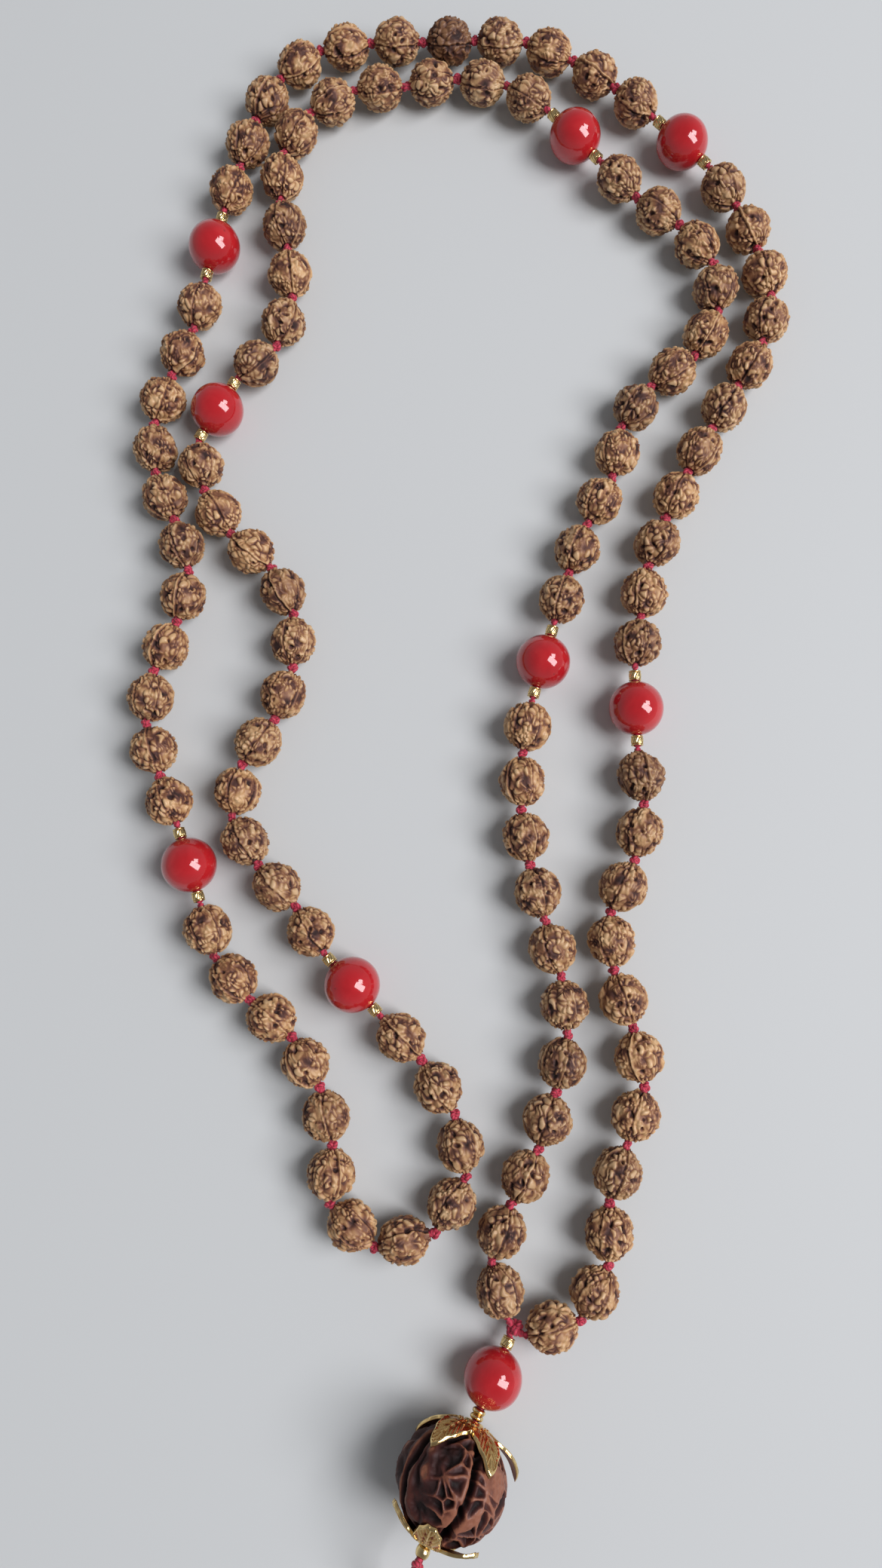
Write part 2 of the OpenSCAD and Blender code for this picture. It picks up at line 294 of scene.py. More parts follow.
# ---------------------------------------------------------------- materials
def seed_material():
    """Dried seed: tan, handled ridges and dark crevices, with a tone of its own per bead. The
    crevices, pits and seams are darkened partly for the seed's own colour and partly as painted
    shade; the dark bore is painted shade.
    """
    material, tree, shader = new_material("rudraksha_seed")
    hollow = attribute(tree, "hollow")
    tone = attribute(tree, "tone")
    grey = attribute(tree, "grey")
    grain = noise(tree, 1400)
    patches = noise(tree, 260, 2)
    # hollow darkens the colour: painted shade in the crevices, pits, seams and bore, partly also
    # the seed's own darker crevices
    depth = maths(tree, "ADD", hollow, spread(tree, grain, -0.16, 0.16), clamp=True)
    depth = maths(tree, "ADD", depth, spread(tree, patches, -0.12, 0.14), clamp=True)
    base = ramp(tree, depth, [(0.0, (0.74, 0.495, 0.262)), (0.20, (0.56, 0.325, 0.145)),
                              (0.42, (0.29, 0.125, 0.055)), (0.68, (0.105, 0.034, 0.021)),
                              (1.0, (0.026, 0.009, 0.007))])
    greyed = mixed(tree, grey, base, mixed(tree, 1.0, base, (0.82, 0.86, 0.92), "MULTIPLY"))
    dark = mixed(tree, 1.0, greyed, (0.30, 0.22, 0.21), "MULTIPLY")
    tree.links.new(mixed(tree, tone, greyed, dark), shader.inputs["Base Color"])
    tree.links.new(spread(tree, depth, 0.36, 0.85), shader.inputs["Roughness"])
    shader.inputs["Specular IOR Level"].default_value = 0.55
    bumped(tree, shader, noise(tree, 3200, 5, 0.7), 0.00006, 0.7)
    return material


def coral_material():
    """Polished red bead: nearly even, with faint clouds and handling smudges in the gloss."""
    material, tree, shader = new_material("coral_red")
    clouds = noise(tree, 300, 3, 0.55, 0.6)
    pit = attribute(tree, "hollow")
    base = ramp(tree, clouds, [(0.30, (0.42, 0.011, 0.016)), (0.55, (0.48, 0.014, 0.020)),
                               (0.75, (0.53, 0.022, 0.026))])
    tree.links.new(mixed(tree, pit, base, (0.10, 0.008, 0.008)), shader.inputs["Base Color"])
    smudges = noise(tree, 900, 4, 0.65)
    tree.links.new(spread(tree, smudges, 0.03, 0.16), shader.inputs["Roughness"])
    shader.inputs["Coat Weight"].default_value = 0.7
    shader.inputs["Coat Roughness"].default_value = 0.03
    bumped(tree, shader, noise(tree, 500, 2), 0.00003, 0.25)
    return material


def gold_material(name, half_dull, deepest):
    """Plated brass: bright on what stands out, dull and darker where it is hollow, the darkening
    being painted shade in the hollows, the bores and under the caps.
    """
    material, tree, shader = new_material(name)
    hollow = attribute(tree, "hollow")
    wear = noise(tree, 1800, 4, 0.65)
    # hollow darkens the colour: painted shade
    dull = maths(tree, "ADD", hollow, spread(tree, wear, -0.22, 0.20), clamp=True)
    base = ramp(tree, dull, [(0.0, (0.86, 0.66, 0.31)), (0.45, half_dull), (1.0, deepest)])
    tree.links.new(base, shader.inputs["Base Color"])
    shader.inputs["Metallic"].default_value = 1.0
    tree.links.new(spread(tree, dull, 0.12, 0.5), shader.inputs["Roughness"])
    bumped(tree, shader, noise(tree, 2600, 3), 0.00003, 0.4)
    return material


def thread_material():
    """Waxed crimson cotton: fine fibres, darker in the grooves between its plies, which is
    painted shade.
    """
    material, tree, shader = new_material("crimson_thread")
    hollow = attribute(tree, "hollow")
    fibres = noise(tree, 4200, 4, 0.7)
    # hollow darkens the colour: painted shade in the grooves
    deep = maths(tree, "ADD", hollow, spread(tree, fibres, -0.25, 0.3), clamp=True)
    base = ramp(tree, deep, [(0.0, (0.62, 0.045, 0.095)), (0.4, (0.40, 0.020, 0.050)),
                             (1.0, (0.10, 0.006, 0.014))])
    tree.links.new(base, shader.inputs["Base Color"])
    shader.inputs["Roughness"].default_value = 0.6
    shader.inputs["Sheen Weight"].default_value = 0.35
    shader.inputs["Sheen Roughness"].default_value = 0.4
    bumped(tree, shader, fibres, 0.00008, 0.8)
    return material


def guru_material():
    """Oiled dark seed: near black in its pits and seams, red-brown walls and lighter seam edges.
    The dark is partly the seed's own colour and partly painted shade; the lighter walls and seam
    edges are partly its own colour and partly painted highlight.
    """
    material, tree, shader = new_material("guru_seed")
    hollow = attribute(tree, "hollow")
    grain = noise(tree, 900)
    # hollow darkens the colour: painted shade in the pits, seams and bore, partly the seed's own
    # colour; lighter on the walls and seam edges, partly painted highlight
    depth = maths(tree, "ADD", hollow, spread(tree, grain, -0.14, 0.14), clamp=True)
    base = ramp(tree, depth, [(0.0, (0.26, 0.100, 0.056)), (0.16, (0.098, 0.028, 0.018)),
                              (0.42, (0.044, 0.0105, 0.009)), (0.8, (0.010, 0.004, 0.004))])
    tree.links.new(base, shader.inputs["Base Color"])
    tree.links.new(spread(tree, depth, 0.42, 0.8), shader.inputs["Roughness"])
    shader.inputs["Specular IOR Level"].default_value = 0.35
    bumped(tree, shader, noise(tree, 1500, 5, 0.7), 0.0001, 0.6)
    return material


SEED = seed_material()
CORAL = coral_material()
GOLD = gold_material("gold_plate", (0.52, 0.31, 0.09), (0.14, 0.055, 0.018))
CAP_GOLD = gold_material("gold_cap", (0.55, 0.30, 0.10), (0.24, 0.055, 0.025))
THREAD = thread_material()
GURU = guru_material()

# ---------------------------------------------------------------- sizes, in mm
CORALS = 8          # on the loop
CORAL_W = 8.0
SPACER_W, SPACER_LEN = 1.9, 1.5
SPACER_GAP = 0.05
THREAD_W = 1.0
BORE = THREAD_W / 2 + SPACER_GAP
MOUTH = 1.05         # radius of the ball that hollows each end of a seed's bore
INSIDE_SEED = 3.57   # corners nearer to a seed's centre than this are in its bore
ON_BALL = 0.04       # how far a corner of a knot's ball may be from its radius
SAME_KNOT = 0.3      # ends of beads nearer than this share a knot
JUNCTION_REACH = 2.5   # ends of beads nearer than this to the junction are tied to it
KNOT_W = 1.7
JUNCTION_W = 2.2
SEED_W, SEED_LEN = 7.2, 7.5
GURU_W, GURU_LEN = 15.0, 14.4
LINK_GAP = 0.2
CORAL_LINK = CORAL_W / 2 + SPACER_LEN + 2 * SPACER_GAP + LINK_GAP

# ---------------------------------------------------------------- the tail
# Its route, from the knot below the guru bead down to the table.
TAIL = [(-7.5, -114, 9.8), (-8.5, -116, 8), (-9.5, -118, 5), (-10.5, -120, 2.4),
        (-12, -122.5, 0.8), (-14.5, -126, 0.6), (-16.5, -130, 0.6), (-16.5, -134.5, 0.6),
        (-14, -138.5, 0.6), (-10, -141, 0.7)]
TAIL_STEPS = 16


def smooth_route(points, steps):
    """A smooth line through the points, with steps pieces between each two."""
    points = np.asarray(points, float)
    last = len(points) - 1
    line = []
    for i in range(last):
        a, b, c, d = (points[min(max(i + k, 0), last)] for k in (-1, 0, 1, 2))
        for t in np.arange(steps) / steps:
            line.append(0.5 * (2 * b + (c - a) * t + (2 * a - 5 * b + 4 * c - d) * t ** 2
                               + (3 * b - a - 3 * c + d) * t ** 3))
    return np.array(line + [points[last]])


def thread_part(path, radius=THREAD_W / 2, plies=3, lay=3.2, sides=18):
    """A twisted thread along a path, with its grooves marked for painted shade in the material.
    """
    points, faces = closed_tube(path, radius, sides=sides, plies=plies, lay=lay)
    along = np.repeat(run_along(path), sides)
    angle = np.tile(np.arange(sides) * TURN / sides, len(path))
    groove = 1 - np.abs(np.cos((angle - TURN * along / lay) * plies / 2))
    return points, faces, {"hollow": np.clip(groove * 1.3 - 0.25, 0, 1)}


def knot_part(centre, direction, width, random):
    """A small overhand knot: the thread crosses itself three times in a tight bundle."""
    t = np.linspace(0, TURN, 73)[:-1]
    loop = np.stack([np.sin(t) + 2 * np.sin(2 * t), np.cos(t) - 2 * np.cos(2 * t),
                     -1.25 * np.sin(3 * t)], -1)
    strand = 0.40 * width / 2
    loop *= (width / 2 - strand) / 3
    loop = loop @ np.linalg.qr(random.normal(size=(3, 3)))[0]
    sides = 12
    ways = np.roll(loop, -1, 0) - np.roll(loop, 1, 0)
    ways /= np.linalg.norm(ways, axis=1)[:, None]
    out = loop / np.linalg.norm(loop, axis=1)[:, None]
    side = out - ways * (out * ways).sum(1)[:, None]
    side /= np.linalg.norm(side, axis=1)[:, None]
    across = np.cross(ways, side)
    angle = np.arange(sides) * TURN / sides
    wave = np.abs(np.cos((angle[None, :] - 5 * t[:, None]) * 1.5))
    r = strand * (0.86 + 0.14 * wave)
    points = (loop[:, None] + r[..., None] * (np.cos(angle)[None, :, None] * side[:, None]
                                              + np.sin(angle)[None, :, None] * across[:, None]))
    frame_axes = axes_for(direction)
    points = points.reshape(-1, 3) @ frame_axes + centre
    # hollow marks painted shade between the strands of the knot
    return (points, grid_faces(len(t), sides, True),
            {"hollow": np.clip((1 - wave) * 1.2 - 0.2, 0, 1).ravel()})


def pendant_knot():
    """Centre of the knot below the guru bead, in mm."""
    low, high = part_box("pendant_thread")
    return np.array([low.x / MM + KNOT_W / 2, low.y / MM + KNOT_W / 2,
                     high.z / MM - KNOT_W / 2])


def middle_of(node):
    """Centre of a node's box, in mm."""
    low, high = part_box(node)
    return np.array((low + high) / 2) / MM


def make_tail():
    knot = pendant_knot()
    path = smooth_route([knot, *TAIL], TAIL_STEPS)
    tail = add_piece("tail_thread", [thread_part(path)], THREAD, "pendant",
                     ["tail"])
    low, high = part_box("tail_knot")
    end = add_piece("tail_end_knot",
                    [knot_part(middle_of("tail_knot"), path[-1] - path[-2],
                               (high.z - low.z) / MM,
                               np.random.default_rng(7))],
                    THREAD, "pendant", ["tail_knot"])


# ---------------------------------------------------------------- where everything is
def seed_places():
    """(centre, direction of the bore, half of the link length, node) of each seed bead."""
    places = []
    for name in sorted(frame["nodes"]):
        if not name.startswith("seed_bead"):
            continue
        for points in islands(name):
            away = points - (points.min(0) + points.max(0)) / 2
            inside = away[np.linalg.norm(away, axis=1) < INSIDE_SEED]
            way = np.linalg.svd(inside - inside.mean(0), full_matrices=False)[2][0]
            ahead = inside @ way
            wide = np.linalg.norm(inside - ahead[:, None] * way, axis=1)
            ends = ahead[wide < wide.min() + 0.02]
            centre = points[0] - away[0] + (ends.min() + ends.max()) / 2 * way
            half = (ends.max() - ends.min()) / 2 + math.sqrt(MOUTH ** 2 - BORE ** 2)
            places.append((centre, way, half, name))
    return places


def turning(joint_name):
    """(centre, direction) of a bead's bore, in mm, from the joint that it turns on."""
    joint = next(j for j in frame["joints"] if j["name"] == joint_name)
    return np.array(joint["pos_m"]) / MM, unit(np.array(joint["axis"], float))


def nearest_thread(point, body):
    """The thread node of a body that passes nearest to a point."""
    members = [n for n in thread_corners if body_of(n) == body]
    return min(members, key=lambda n: np.linalg.norm(thread_corners[n] - point, axis=1).min())


def knot_owner(point):
    """The thread node that holds the knot at a point."""
    def corners_on_knot(name):
        away = np.linalg.norm(thread_corners[name] - point, axis=1)
        return (np.abs(away - KNOT_W / 2) < ON_BALL).sum()
    return max(thread_corners, key=corners_on_knot)


# ---------------------------------------------------------------- turned shapes
def lathe(profile, columns):
    """Points of a ring-shaped solid: profile is (radius, height), closed on itself."""
    profile = np.asarray(profile, float)
    angle = np.arange(columns) * TURN / columns
    r, z = profile[:, :1], profile[:, 1:]
    return np.stack([r * np.cos(angle), r * np.sin(angle), z + 0 * angle], -1)


def placed(points, way, centre):
    """Points of a bead in its own axes, put on its bore."""
    return points.reshape(-1, 3) @ axes_for(way) + centre


def steps_between(low, high, value):
    t = np.clip((value - low) / (high - low), 0, 1)
    return t * t * (3 - 2 * t)


def meridian(points, turn):
    """Distance across the surface from the half plane through the bore at an angle."""
    across = points[..., 1] * math.cos(turn) - points[..., 0] * math.sin(turn)
    ahead = points[..., 0] * math.cos(turn) + points[..., 1] * math.sin(turn)
    return np.where(ahead > 0, across, FAR)


# ---------------------------------------------------------------- seed beads
SEED_ROWS, SEED_COLUMNS = 58, 136
MOUTH_ROWS = 6
MOUTH_EDGE, OUTER_FROM = 0.96, 1.08   # radii where the mouth ends and the outer curve starts
SEED_BORE = 0.62            # nearer to the axis than this is the wall of the bore
SEED_FACES = 5              # a seed has five seams from end to end
LUMPS = 270
LUMP_STRETCH = (1, 1, 0.64)  # lumps are longer along the bore than across it
DARK_SEED = (-1.8, 108.6)   # the darkest seed, at the crown of the loop


def bead_rows(wide, long, half, rows):
    """Profile of a seed bead: the bore, the hollow mouths and the outer curve between."""
    mouth_r = np.linspace(BORE, MOUTH_EDGE, MOUTH_ROWS)
    mouth_z = half - np.sqrt(MOUTH ** 2 - mouth_r ** 2)
    start = math.asin(OUTER_FROM / wide)
    a = np.linspace(start, math.pi - start, rows)
    upper = np.stack([mouth_r, np.minimum(mouth_z, long)], -1)
    outer = np.stack([wide * np.sin(a), long * np.cos(a)], -1)
    lower = upper[::-1] * (1, -1)
    bore = np.array([[BORE, -mouth_z[0] / 3], [BORE, mouth_z[0] / 3]])
    return np.concatenate([upper, outer, lower, bore])


def nearest_lumps(points, lumps):
    """Distances to the nearest and the second nearest lump, and which lump is nearest."""
    points, lumps = points.astype(np.float32), lumps.astype(np.float32)
    square = ((points ** 2).sum(1)[:, None] + (lumps ** 2).sum(1)[None]
              - 2 * points @ lumps.T)
    which = square.argmin(1)
    two = np.sqrt(np.partition(square, 1, axis=1)[:, :2].clip(0))
    return two[:, 0], two[:, 1], which


def seed_part(place, tone, grey, random):
    """A knobbly seed: small lumps with narrow crevices, odd pits and five seams."""
    centre, way, half, _ = place
    points = lathe(bead_rows(SEED_W / 2, SEED_LEN / 2, half, SEED_ROWS), SEED_COLUMNS)
    flat = points.reshape(-1, 3)
    r = np.hypot(flat[:, 0], flat[:, 1])
    skin = steps_between(SEED_BORE, 1.25, r)
    bent = flat + 0.17 * np.stack([random_waves(flat, 1.9, random, 12) for _ in range(3)], -1)
    lumps = random.normal(size=(LUMPS, 3))
    lumps *= SEED_W / 2 / np.linalg.norm(lumps, axis=1)[:, None]
    first, second, which = nearest_lumps(bent * LUMP_STRETCH, lumps * LUMP_STRETCH)
    border = np.exp(-((second - first) / 0.19) ** 2)
    low = random.uniform(0, 1, LUMPS)[which] ** 3 * (1 - border)
    round_off = (first / 0.6).clip(0, 1.3) ** 2
    slack = random_waves(flat, 2.6, random, 14)
    pits = steps_between(1.35, 2.2, random_waves(flat, 1.6, random))
    depth = 0.34 * border + 0.38 * low + 0.14 * round_off + 0.42 * pits
    # hollow darkens the colour: painted shade in the crevices, on the low lumps, towards each
    # lump's edge and in the pits, partly also the seed's own darker crevices
    hollow = (border * (0.50 + 0.20 * slack) + 0.20 * low + 0.08 * round_off
              + 0.60 * pits)
    for k in range(SEED_FACES):
        turn = TURN * (k + random.uniform(-0.07, 0.07)) / SEED_FACES
        s = meridian(flat, turn) + 0.08 * slack
        seam = np.exp(-(s / 0.13) ** 2)
        lip = np.exp(-((s - 0.30) / 0.15) ** 2) * (0.8 if k == 0 else 0.35)
        depth = depth * (1 - lip) + 0.20 * seam
        # painted shade in each seam, with the lip beside it kept light
        hollow = hollow * (1 - lip) + 0.42 * seam
    lobes = 0.11 * (1 + random_waves(flat, 8.0, random, 8)).clip(0, 2)
    depth = (depth + lobes) * skin - 0.05 * skin
    flat = flat * (1 - depth / np.linalg.norm(flat, axis=1))[:, None]
    # the bore is painted darkest, painted shade
    hollow = np.where(r < SEED_BORE, 1.0, np.clip(hollow, 0, 1))
    spin = random.uniform(0, TURN)
    turned = flat @ np.array([[math.cos(spin), math.sin(spin), 0],
                              [-math.sin(spin), math.cos(spin), 0], [0, 0, 1]])
    return (placed(turned, way, centre),
            grid_faces(len(points), SEED_COLUMNS, True),
            {"hollow": hollow, "tone": tone, "grey": grey})


def make_seeds():
    random = np.random.default_rng(108)
    for number, place in enumerate(places, 1):
        is_dark = np.hypot(*(place[0][:2] - DARK_SEED)) < SEED_W / 2
        tone = 0.85 if is_dark else min(0.42, abs(random.normal(0.02, 0.14)))
        grey = random.uniform(0, 0.8)
        add_piece(f"seed_{number:03d}", [seed_part(place, tone, grey, random)], SEED,
                  body_of(place[3]), [place[3]])


# ---------------------------------------------------------------- coral beads
CORAL_ROWS, CORAL_COLUMNS = 84, 120


def coral_part(centre, way, random):
    """A polished round bead with softened bore edges and a few small pits."""
    wide = CORAL_W / 2
    start = math.asin((BORE + 0.14) / wide)
    a = np.linspace(start, math.pi - start, CORAL_ROWS)
    outer = np.stack([wide * np.sin(a), wide * np.cos(a)], -1)
    edge = outer[0, 1]
    lip = np.array([[BORE, edge - 0.16], [BORE + 0.03, edge - 0.05], [BORE + 0.08, edge]])
    bore = np.array([[BORE, -edge / 3], [BORE, edge / 3]])
    points = lathe(np.concatenate([lip, outer, lip[::-1] * (1, -1), bore]), CORAL_COLUMNS)
    flat = points.reshape(-1, 3)
    skin = steps_between(BORE + 0.1, BORE + 0.6, np.hypot(flat[:, 0], flat[:, 1]))
    depth = 0.012 * random_waves(flat, 5.0, random, 10)
    pit = np.zeros(len(flat))
    for _ in range(4):
        at = unit(random.normal(size=3)) * wide
        size = random.uniform(0.07, 0.14)
        pit += np.exp(-(np.linalg.norm(flat - at, axis=1) / size) ** 2)
    flat = flat * (1 - skin * (depth + 0.02 + 0.05 * pit)
                   / np.linalg.norm(flat, axis=1).clip(0.5))[:, None]
    return (placed(flat, way, centre), grid_faces(len(points), CORAL_COLUMNS, True),
            {"hollow": np.clip(pit, 0, 1) * 0.8})


def make_corals():
    random = np.random.default_rng(9)
    for i in range(1, CORALS + 1):
        add_piece(f"coral_{i}", [coral_part(*turning(f"coral_spin_{i}"), random)], CORAL,
                  f"coral_{i}", [f"coral_bead_{i}"])
    add_piece("coral_of_pendant", [coral_part(*turning("pendant_coral_spin"), random)],
              CORAL, "pendant_coral", ["pendant_coral"])


# ---------------------------------------------------------------- gold spacers
SPACER_COLUMNS = 96
SPACER_CUTS = 12


def spacer_part(centre, way):
    """A short gold tube: twelve diamond cuts between two rolled rims."""
    tall, wide = SPACER_LEN / 2, SPACER_W / 2
    rim = [(BORE, tall - 0.12), (BORE + 0.06, tall - 0.02), (wide - 0.20, tall),
           (wide - 0.09, tall - 0.05), (wide - 0.05, tall - 0.14), (wide - 0.10, tall - 0.22),
           (wide - 0.16, tall - 0.27)]
    waist = [(wide - 0.05, z) for z in np.linspace(tall - 0.36, 0.36 - tall, 9)]
    profile = np.array(rim + waist + [(r, -z) for r, z in rim[::-1]])
    points = lathe(profile, SPACER_COLUMNS)
    angle = np.arange(SPACER_COLUMNS) * TURN / SPACER_COLUMNS
    first, last = len(rim), len(rim) + len(waist)
    for row in range(first, last):
        tilt = (row - (first + last - 1) / 2) / len(waist)
        facet = np.abs(np.sin((angle + tilt * 0.5) * SPACER_CUTS / 2))
        points[row, :, :2] *= (1 - 0.13 * (1 - facet) - 0.10 * abs(tilt) ** 2)[:, None]
    # hollow darkens the gold: painted shade in the grooves by the rims and in the bore
    hollow = np.zeros(points.shape[:2])
    hollow[first - 1] = hollow[last] = 0.9
    hollow[[0, -1]] = 1.0
    return (placed(points, way, centre), grid_faces(len(points), SPACER_COLUMNS, True),
            {"hollow": hollow.ravel()})


def ring_bead_part(centre, way, rings):
    """A gold spacer made of rolled rings, side by side."""
    tall, wide = SPACER_LEN / 2, SPACER_W / 2
    z = np.linspace(-tall, tall, 14 * rings + 1)
    swell = np.abs(np.sin(math.pi * rings * (z + tall) / (2 * tall))) ** 0.6
    outer = np.stack([BORE + 0.06 + (wide - BORE - 0.08) * swell, z], -1)[::-1]
    bore = np.array([[BORE, -tall / 2], [BORE, tall / 2]])
    points = lathe(np.concatenate([outer, bore]), SPACER_COLUMNS)
    # hollow darkens the gold: painted shade between the rings and in the bore
    hollow = np.concatenate([(1 - swell[::-1]) ** 2, [1, 1]])
    return (placed(points, way, centre), grid_faces(len(points), SPACER_COLUMNS, True),
            {"hollow": np.repeat(hollow, SPACER_COLUMNS)})


def make_spacers():
    away = CORAL_W / 2 + SPACER_GAP + SPACER_LEN / 2
    for i in range(1, CORALS + 1):
        centre, way = turning(f"coral_spin_{i}")
        node = f"gold_spacers_{i}"
        parts = [spacer_part(centre + side * away * way, way) for side in (-1, 1)]
        add_piece(f"gold_tubes_{i}", parts, GOLD, body_of(node), [node])
    coral_way = turning("pendant_coral_spin")[1]
    guru_way = turning("guru_spin")[1]
    for node, way, part in (("pendant_spacer_upper", coral_way, spacer_part),
                            ("pendant_spacer_middle", coral_way, ring_bead_part),
                            ("pendant_spacer_lower", guru_way, ring_bead_part)):
        rings = () if part is spacer_part else (2 if node.endswith("middle") else 1,)
        add_piece(node.replace("spacer", "gold"), [part(middle_of(node), way, *rings)], GOLD,
                  "pendant", [node])


# ---------------------------------------------------------------- guru bead
GURU_ROWS, GURU_COLUMNS = 190, 300
GURU_SEAM = math.radians(78)   # the seam that faces up, a little to the right
ROUGH_TURN = 1.05           # from that seam to the middle of the pitted side, in radians
GURU_BORE = 0.7
CELLS = 170
PETALS = 5
CAP_ROWS, CAP_COLUMNS = 56, 400
CAP_HOLE = 0.72


def guru_part(centre, way, random):
    """The large seed: deep seams along the bore, and pits with raised walls."""
    wide = GURU_W / 2
    start = math.asin((BORE + 0.05) / wide)
    a = np.linspace(start, math.pi - start, GURU_ROWS)
    outer = np.stack([wide * np.sin(a), GURU_LEN / 2 * np.cos(a)], -1)
    bore = np.array([[BORE, -6.4], [BORE, -3], [BORE, 3], [BORE, 6.4]])
    points = lathe(np.concatenate([outer, bore]), GURU_COLUMNS)
    flat = points.reshape(-1, 3)
    r = np.hypot(flat[:, 0], flat[:, 1])
    skin = steps_between(GURU_BORE, 2.2, r)
    turn = np.arctan2(flat[:, 1], flat[:, 0])
    rough_side = steps_between(-0.45, 0.25, np.cos(turn - GURU_SEAM + ROUGH_TURN))
    cells = random.normal(size=(CELLS, 3))
    cells *= wide / np.linalg.norm(cells, axis=1)[:, None]
    warped = flat + 0.35 * np.stack([random_waves(flat, 4.0, random, 10)
                                     for _ in range(3)], -1)
    first, second, _ = nearest_lumps(warped, cells)
    wall = np.exp(-((second - first) / 0.22) ** 2)
    pit = steps_between(0.12, 0.85, second - first)
    soft = random_waves(flat, 3.2, random)
    smooth_side = 1 - rough_side
    knobs = random_waves(flat, 2.3, random)
    depth = (0.95 * pit * rough_side * (0.8 + 0.15 * soft).clip(0.3, 1.2)
             + 0.28 * smooth_side * (1 + soft).clip(0, 2)
             + 0.14 * smooth_side * (1 + knobs).clip(0, 2)
             + 0.05 * np.abs(random_waves(flat, 1.1, random)))
    # hollow for the colour: painted shade in the pits and painted highlight on the pit walls,
    # both partly the seed's own colour
    hollow = (0.22 + (0.62 * pit - 0.32 * wall) * rough_side
              + (0.24 + 0.10 * soft + 0.12 * knobs) * smooth_side)
    for k in range(SEED_FACES):
        s = meridian(flat, GURU_SEAM + TURN * k / SEED_FACES) + 0.14 * soft
        deep = 1.25 if k == 0 else 0.8
        seam = np.exp(-(s / 0.42) ** 2)
        lip = np.exp(-((np.abs(s) - 0.95) / 0.42) ** 2)
        edge = np.exp(-((np.abs(s) - 0.72) / 0.16) ** 2)
        depth = depth * (1 - 0.7 * lip) + deep * seam
        # painted shade in each seam and painted highlight along its edges
        hollow = hollow * (1 - 0.5 * lip) + 0.8 * seam - 0.30 * edge
    depth = depth * skin
    flat = flat * (1 - depth / np.linalg.norm(flat, axis=1))[:, None]
    # the bore is painted darkest, painted shade
    return (placed(flat, way, centre), grid_faces(len(points), GURU_COLUMNS, True),
            {"hollow": np.where(r < GURU_BORE, 1.0, np.clip(hollow, 0, 1))})


def cap_part(centre, way, reaches, first_petal, bend, valley, shape):
    """A gold flower on the end of the guru bead that way points to. Its petals have raised
    rims, a midrib, side veins and drop-shaped hollows; the first is bent off the bead."""
    arc = (GURU_W / 2 + GURU_LEN ** 2 / (2 * GURU_W)) / 2
    off_axis = GURU_W / 2 - arc
    angle = first_petal + np.arange(CAP_COLUMNS) * TURN / CAP_COLUMNS
    petal = np.arange(CAP_COLUMNS) * PETALS / CAP_COLUMNS
    across = petal - np.round(petal)
    reach = np.array(reaches)[np.round(petal).astype(int) % PETALS]
    pointed = (1 - (2 * np.abs(across)) ** shape[0]) ** shape[1]
    rim = valley + (reach - valley) * pointed + 0.15 * np.sin(6 * np.pi * np.abs(across)) ** 2
    t = np.linspace(0, 1, CAP_ROWS)[:, None]
    r = CAP_HOLE + t * (rim - CAP_HOLE)
    slope = np.gradient(rim) * CAP_COLUMNS / TURN / rim
    to_rim = (rim - r) / np.sqrt(1 + slope ** 2)
    turn = across * TURN / PETALS
    s, q = r * np.sin(turn), r * np.cos(turn)
    wire = np.exp(-((to_rim - 0.17) / 0.15) ** 2)
    rib = np.exp(-(s / 0.13) ** 2) * steps_between(1.9, 2.5, r)
    veins = sum(np.exp(-((np.abs(s) - 0.62 * (q - start)) / 0.11) ** 2)
                for start in np.arange(1.9, max(reaches), 0.85)) * steps_between(2.0, 2.6, r)
    collar = np.exp(-((r - 1.05) / 0.26) ** 2)
    beads = (np.exp(-((r - 2.0) / 0.22) ** 2)
             * (0.55 + 0.45 * np.cos(4 * PETALS * (angle - first_petal))))
    drops = sum(np.exp(-((q - at) ** 2 + (np.abs(s) - 0.45) ** 2) / 0.06)
                for at in (2.8, 3.7, 4.6))
    relief = np.maximum.reduce([wire, 0.75 * rib, 0.65 * veins.clip(0, 1), collar, beads])
    relief = relief * (1 - 0.9 * drops.clip(0, 1))
    bent = (np.round(petal) % PETALS == 0) * bend * steps_between(0.42 * reach, reach, r)
    edge = (0.5 * (1 - np.cos(np.pi * np.clip(to_rim / 0.14, 0, 1)))).clip(0, 1)
    top = arc + SPACER_GAP + 0.07 + (0.08 + 0.32 * relief) * edge + bent
    under = arc + SPACER_GAP + bent

    def on_bead(height):
        tilt = np.arcsin((r - off_axis) / arc)
        out, up = off_axis + height * np.sin(tilt), height * np.cos(tilt)
        return np.stack([out * np.cos(angle), out * np.sin(angle), up], -1)

    points = np.concatenate([on_bead(top), on_bead(under)[::-1]])
    # painted shade: the ground between the raised work and the drops are darkened, and the
    # underside against the bead is darkest
    inside = 0.42 * (1 - relief) + 0.7 * drops.clip(0, 1)
    hollow = np.concatenate([inside, np.ones_like(r)])
    return (placed(points[::-1], way, centre),
            grid_faces(len(points), CAP_COLUMNS, True), {"hollow": hollow[::-1].ravel()})


def make_caps():
    centre, way = turning("guru_spin")
    upper = cap_part(centre, -way, (6.9, 5.6, 6.9, 6.9, 6.9), math.radians(190), 1.3, 3.8,
                     (1.2, 1.3))
    lower = cap_part(centre, way, (5.8,) * PETALS, math.radians(28), 0.9, 2.8, (1.9, 1.0))
    add_piece("cap_upper", [upper], CAP_GOLD, "guru", ["guru_cap_upper"])
    add_piece("cap_lower", [lower], CAP_GOLD, "guru", ["guru_cap_lower"])


def make_guru():
    add_piece("guru_seed", [guru_part(*turning("guru_spin"), np.random.default_rng(5))],
              GURU, "guru", ["guru_bead"])


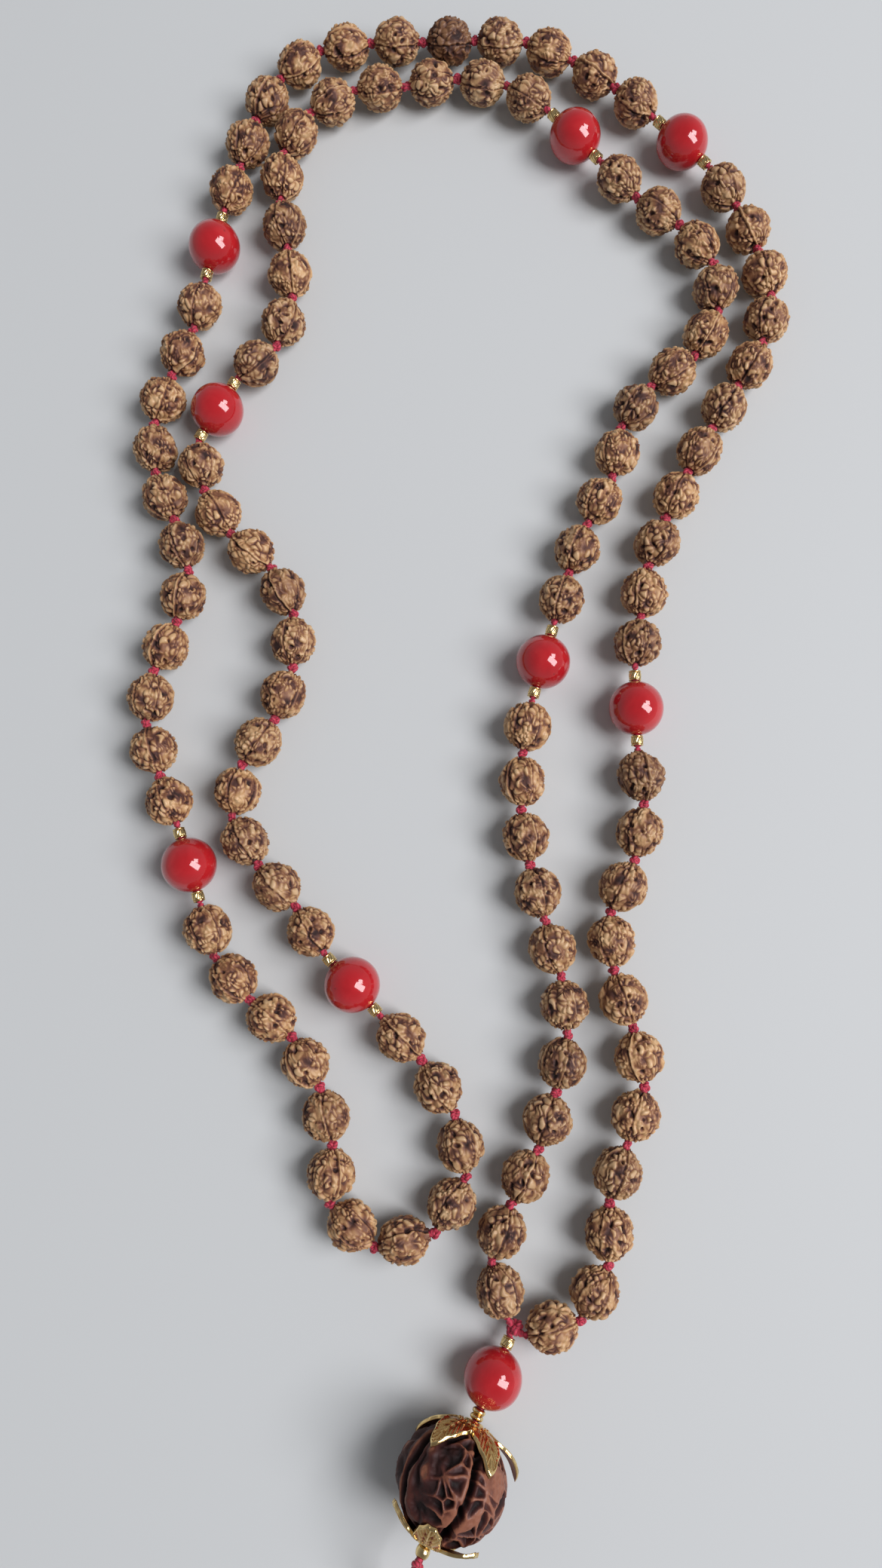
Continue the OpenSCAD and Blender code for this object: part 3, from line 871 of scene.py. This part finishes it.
# ---------------------------------------------------------------- thread
RING_STEP = 0.3
TUCKED_IN = 0.15     # how far a stretch of thread runs on into the knot at its end


def run_part(a, b):
    """A straight stretch of thread, a little longer than from a to b."""
    way = unit(b - a)
    count = max(3, int(np.linalg.norm(b - a) / RING_STEP))
    t = np.linspace(0, 1, count)[:, None]
    return thread_part((a - TUCKED_IN * way) * (1 - t) + (b + TUCKED_IN * way) * t)


def make_thread():
    random = np.random.default_rng(21)
    parts = {name: [] for name in thread_corners}
    ends = []
    for centre, way, half, node in places:
        a, b = centre - half * way, centre + half * way
        parts[nearest_thread(centre, body_of(node))].append(run_part(a, b))
        ends += [(a, way), (b, way)]
    for i in range(1, CORALS + 1):
        centre, way = turning(f"coral_spin_{i}")
        node = nearest_thread(centre, body_of(f"gold_spacers_{i}"))
        parts[node].append(run_part(centre - CORAL_LINK * way, centre + CORAL_LINK * way))
    junction = middle_of("junction_knot")
    at = np.array([end[0] for end in ends])
    apart = np.linalg.norm(at[:, None] - at[None], axis=2) + np.eye(len(at)) * FAR
    for i, (end, way) in enumerate(ends):
        other = int(apart[i].argmin())
        if apart[i, other] < SAME_KNOT and i < other:
            parts[knot_owner(end)].append(knot_part((end + at[other]) / 2, way, KNOT_W * 1.06,
                                                    random))
        elif np.linalg.norm(end - junction) < JUNCTION_REACH:
            parts[nearest_thread(end, "right_arm")].append(run_part(end, junction))
    for name, members in parts.items():
        add_piece(name.replace("thread", "cord"), members, THREAD, body_of(name),
                  [name])
    bunch = [knot_part(junction + shift, (0.4, 0.9, 0.2), JUNCTION_W * size, random)
             for shift, size in (((0, 0, 0.3), 1.1), ((0.5, 0.35, 0.5), 0.8),
                                 ((-0.4, -0.4, 0.2), 0.8))]
    add_piece("junction_bunch", bunch, THREAD, "junction", ["junction_knot"])

    coral_at, coral_way = turning("pendant_coral_spin")
    guru_at, guru_way = turning("guru_spin")
    a = coral_at - CORAL_LINK * coral_way
    b = coral_at + CORAL_LINK * coral_way
    c = 2 * guru_at - b
    end = pendant_knot()
    stretches = [run_part(p, q) for p, q in ((junction, a), (a, b), (b, c), (c, end))]
    stretches.append(knot_part(end, guru_way, KNOT_W * 1.1, random))
    add_piece("pendant_cord", stretches, THREAD, "pendant", ["pendant_thread"])


# ---------------------------------------------------------------- floor and light
PANE_AWAY = 1.5      # metres
PANE_TILT = -20      # degrees
PANE_RADIANCE = 8.6


def make_floor():
    bpy.ops.mesh.primitive_plane_add(size=6, location=(0, 0, 0))
    floor = bpy.context.object
    floor.name = "floor"
    material, _, shader = new_material("pale_floor")
    shader.inputs["Base Color"].default_value = (0.615, 0.655, 0.655, 1)
    shader.inputs["Roughness"].default_value = 0.6
    shader.inputs["Specular IOR Level"].default_value = 0.2
    floor.data.materials.append(material)


def window_pane(name, direction, size):
    """A rectangular light that faces the string, tilted about its own direction."""
    data = bpy.data.lights.new(name, "AREA")
    data.shape = "RECTANGLE"
    data.size, data.size_y = size
    data.energy = PANE_RADIANCE * math.pi * size[0] * size[1]
    data.color = (1.0, 0.96, 0.99)
    light = bpy.data.objects.new(name, data)
    bpy.context.scene.collection.objects.link(light)
    way = Vector(direction).normalized()
    facing = (-way).to_track_quat("-Z", "Y").to_matrix().to_4x4()
    light.matrix_world = (Matrix.Translation(way * PANE_AWAY) @ facing
                          @ Matrix.Rotation(math.radians(PANE_TILT), 4, "Z"))


def make_light():
    world = bpy.data.worlds.new("studio")
    bpy.context.scene.world = world
    world.use_nodes = True
    tree = world.node_tree
    place = add_node(tree, "ShaderNodeTexCoord").outputs["Generated"]
    up = add_node(tree, "ShaderNodeSeparateXYZ", {"Vector": place}).outputs["Z"]
    sky = ramp(tree, up, [(0.0, (1.0, 1.0, 1.0)), (0.35, (0.80, 0.80, 0.84)),
                          (0.9, (0.42, 0.40, 0.42))])
    background = tree.nodes["Background"]
    tree.links.new(sky, background.inputs["Color"])
    background.inputs["Strength"].default_value = 0.36
    window_pane("pane_large", (0.62, -0.13, 0.77), (0.62, 1.15))
    window_pane("pane_small", (0.66, 0.22, 0.72), (0.40, 0.45))
    bpy.context.scene.view_settings.view_transform = "Standard"


# ---------------------------------------------------------------- build
make_camera()
make_tail()
places = seed_places()
thread_corners = {name: np.concatenate(islands(name)) for name in frame["nodes"]
                  if name.startswith("thread_")}
make_seeds()
make_corals()
make_spacers()
make_guru()
make_caps()
make_thread()
make_floor()
make_light()
